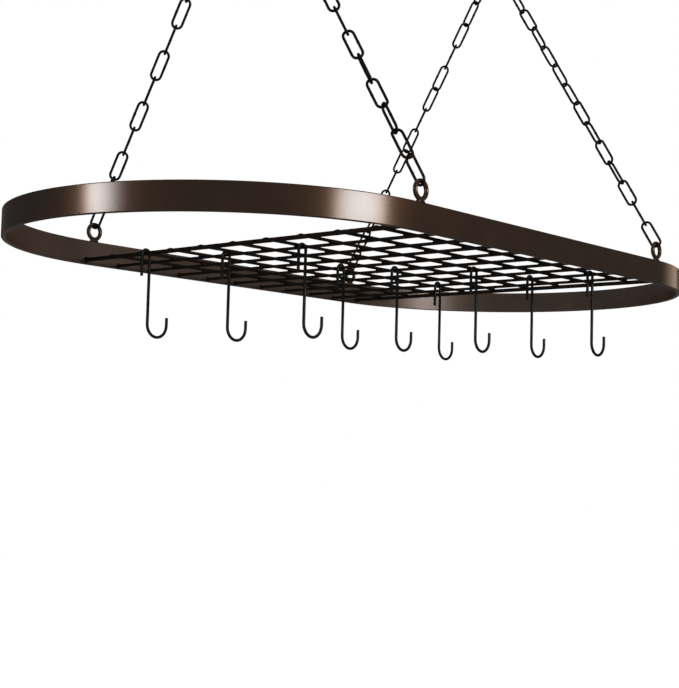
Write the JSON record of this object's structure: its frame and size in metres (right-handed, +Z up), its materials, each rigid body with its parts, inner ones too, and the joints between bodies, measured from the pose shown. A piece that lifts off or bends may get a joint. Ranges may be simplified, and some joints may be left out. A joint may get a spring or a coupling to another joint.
{
  "type": "hanging pot rack",
  "caption": "Oval band-steel pot rack with a wire grid, hung by chains from two ceiling hooks, with loose pot hooks on the grid.",
  "frame": {"origin": "on the ceiling, midway between the two ceiling hooks, which are what holds the rack up", "axes": "+Z up out of the ceiling, +X along the rack's length, +Y across it"},
  "size_m": [0.842, 0.4388, 0.5412],
  "materials": {
    "rim_bronze": "satin dark bronze powder coat with a metallic sheen",
    "grid_bronze": "satin dark bronze powder coat on wire",
    "chain_black": "satin black-brown enamel on welded chain and ceiling hooks",
    "hook_black": "satin black enamel on bent wire"
  },
  "bodies": {
    "ceiling_hooks": {"ceiling_hook_left": "chain_black", "ceiling_hook_right": "chain_black"},
    "left_top_links": {"chain_front_left_top_link": "chain_black", "chain_back_left_top_link": "chain_black"},
    "left_chains": {"chain_front_left_bottom_link": "chain_black", "chain_front_left_links_a": "chain_black", "chain_front_left_links_b": "chain_black", "chain_front_left_links_c": "chain_black", "chain_front_left_links_d": "chain_black", "chain_back_left_bottom_link": "chain_black", "chain_back_left_links_a": "chain_black", "chain_back_left_links_b": "chain_black", "chain_back_left_links_c": "chain_black", "chain_back_left_links_d": "chain_black"},
    "right_top_links": {"chain_front_right_top_link": "chain_black", "chain_back_right_top_link": "chain_black"},
    "right_chains": {"chain_front_right_bottom_link": "chain_black", "chain_front_right_links_a": "chain_black", "chain_front_right_links_b": "chain_black", "chain_front_right_links_c": "chain_black", "chain_front_right_links_d": "chain_black", "chain_back_right_bottom_link": "chain_black", "chain_back_right_links_a": "chain_black", "chain_back_right_links_b": "chain_black", "chain_back_right_links_c": "chain_black", "chain_back_right_links_d": "chain_black"},
    "rack": {"rim_band": "rim_bronze", "cross_wire_1": "grid_bronze", "cross_wire_2": "grid_bronze", "cross_wire_3": "grid_bronze", "cross_wire_4": "grid_bronze", "cross_wire_5": "grid_bronze", "cross_wire_6": "grid_bronze", "cross_wire_7": "grid_bronze", "cross_wire_8": "grid_bronze", "cross_wire_9": "grid_bronze", "cross_wire_10": "grid_bronze", "cross_wire_11": "grid_bronze", "long_wire_1": "grid_bronze", "long_wire_2": "grid_bronze", "long_wire_3": "grid_bronze", "long_wire_4": "grid_bronze", "long_wire_5": "grid_bronze", "long_wire_6": "grid_bronze", "long_wire_7": "grid_bronze", "long_wire_8": "grid_bronze", "long_wire_9": "grid_bronze", "eye_ring_front_left": "rim_bronze", "eye_ring_back_left": "rim_bronze", "eye_ring_front_right": "rim_bronze", "eye_ring_back_right": "rim_bronze"},
    "pot_hook_1": {"pot_hook_1": "hook_black"},
    "pot_hook_2": {"pot_hook_2": "hook_black"},
    "pot_hook_3": {"pot_hook_3": "hook_black"},
    "pot_hook_4": {"pot_hook_4": "hook_black"},
    "pot_hook_5": {"pot_hook_5": "hook_black"},
    "pot_hook_6": {"pot_hook_6": "hook_black"},
    "pot_hook_7": {"pot_hook_7": "hook_black"},
    "pot_hook_8": {"pot_hook_8": "hook_black"},
    "pot_hook_9": {"pot_hook_9": "hook_black"}
  },
  "joints": [
    {"name": "swing", "type": "hinge", "parent": "ceiling_hooks", "child": "left_top_links", "pos_m": [-0.205, 0, -0.03158], "axis": [1, 0, 0], "range_deg": [-20, 20]},
    {"name": "sway", "type": "hinge", "parent": "left_top_links", "child": "left_chains", "pos_m": [-0.205, 0, -0.05409], "axis": [0, 1, 0], "range_deg": [-15, 15]},
    {"name": "level", "type": "hinge", "parent": "left_chains", "child": "rack", "pos_m": [-0.205, -0.214, -0.39316], "axis": [0, 1, 0], "range_deg": [-15, 15]},
    {"name": "right_swing", "type": "hinge", "parent": "ceiling_hooks", "child": "right_top_links", "pos_m": [0.205, 0, -0.03158], "axis": [1, 0, 0], "range_deg": [-20, 20]},
    {"name": "right_sway", "type": "hinge", "parent": "right_top_links", "child": "right_chains", "pos_m": [0.205, 0, -0.05409], "axis": [0, 1, 0], "range_deg": [-15, 15]},
    {"name": "pot_hook_1_swing", "type": "hinge", "parent": "rack", "child": "pot_hook_1", "pos_m": [-0.216, 0.11837, -0.42401], "axis": [0, 1, 0], "range_deg": [-60, 60]},
    {"name": "pot_hook_2_swing", "type": "hinge", "parent": "rack", "child": "pot_hook_2", "pos_m": [-0.1728, 0.04968, -0.42531], "axis": [0, 1, 0], "range_deg": [-60, 60]},
    {"name": "pot_hook_3_swing", "type": "hinge", "parent": "rack", "child": "pot_hook_3", "pos_m": [-0.1728, -0.05141, -0.42531], "axis": [0, 1, 0], "range_deg": [-60, 60]},
    {"name": "pot_hook_4_swing", "type": "hinge", "parent": "rack", "child": "pot_hook_4", "pos_m": [-0.0432, 0.01339, -0.42531], "axis": [0, 1, 0], "range_deg": [-60, 60]},
    {"name": "pot_hook_5_swing", "type": "hinge", "parent": "rack", "child": "pot_hook_5", "pos_m": [0, -0.02333, -0.42531], "axis": [0, 1, 0], "range_deg": [-60, 60]},
    {"name": "pot_hook_6_swing", "type": "hinge", "parent": "rack", "child": "pot_hook_6", "pos_m": [0.1296, 0.01814, -0.42531], "axis": [0, 1, 0], "range_deg": [-60, 60]},
    {"name": "pot_hook_7_swing", "type": "hinge", "parent": "rack", "child": "pot_hook_7", "pos_m": [0.0432, -0.09288, -0.42531], "axis": [0, 1, 0], "range_deg": [-60, 60]},
    {"name": "pot_hook_8_swing", "type": "hinge", "parent": "rack", "child": "pot_hook_8", "pos_m": [0.1296, -0.10498, -0.42531], "axis": [0, 1, 0], "range_deg": [-60, 60]},
    {"name": "pot_hook_9_swing", "type": "hinge", "parent": "rack", "child": "pot_hook_9", "pos_m": [0.1296, -0.17842, -0.42531], "axis": [0, 1, 0], "range_deg": [-60, 60]}
  ],
  "couplings": [
    {"joint": "level", "follows": "sway", "ratio": -1},
    {"joint": "right_sway", "follows": "sway", "ratio": 1},
    {"joint": "right_swing", "follows": "swing", "ratio": 1}
  ]
}
